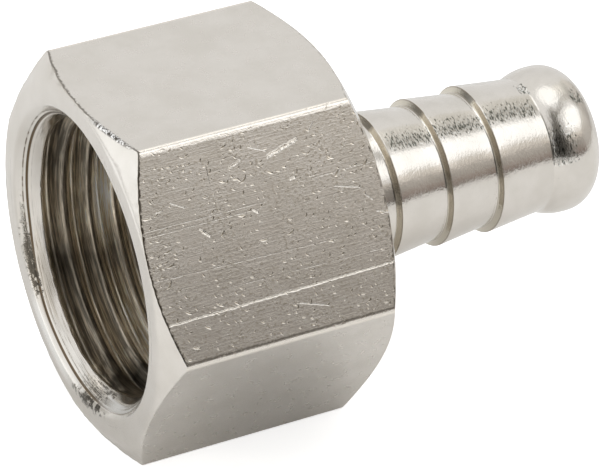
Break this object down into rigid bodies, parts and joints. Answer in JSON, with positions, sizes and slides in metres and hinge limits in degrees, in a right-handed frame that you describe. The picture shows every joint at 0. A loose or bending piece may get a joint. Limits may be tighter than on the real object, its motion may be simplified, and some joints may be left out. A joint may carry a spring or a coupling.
{
  "type": "hose tail",
  "caption": "Nickel-plated brass hose tail: hexagon end with a female parallel pipe thread, barbed and beaded spigot for a push-on hose.",
  "frame": {"origin": "centre of the socket's mouth, on the common axis and in the plane of the hexagon's open end face", "axes": "+X along the axis from the mouth to the hose end; +Z square to one flat of the hexagon, so the opposite flat rests on the bench; +Y through a corner of the hexagon"},
  "size_m": [0.0366, 0.0276, 0.024],
  "materials": {
    "nickel_plated_brass": "bright nickel plate over turned and drawn brass"
  },
  "bodies": {
    "root": {"hose_tail": "nickel_plated_brass"}
  },
  "joints": []
}
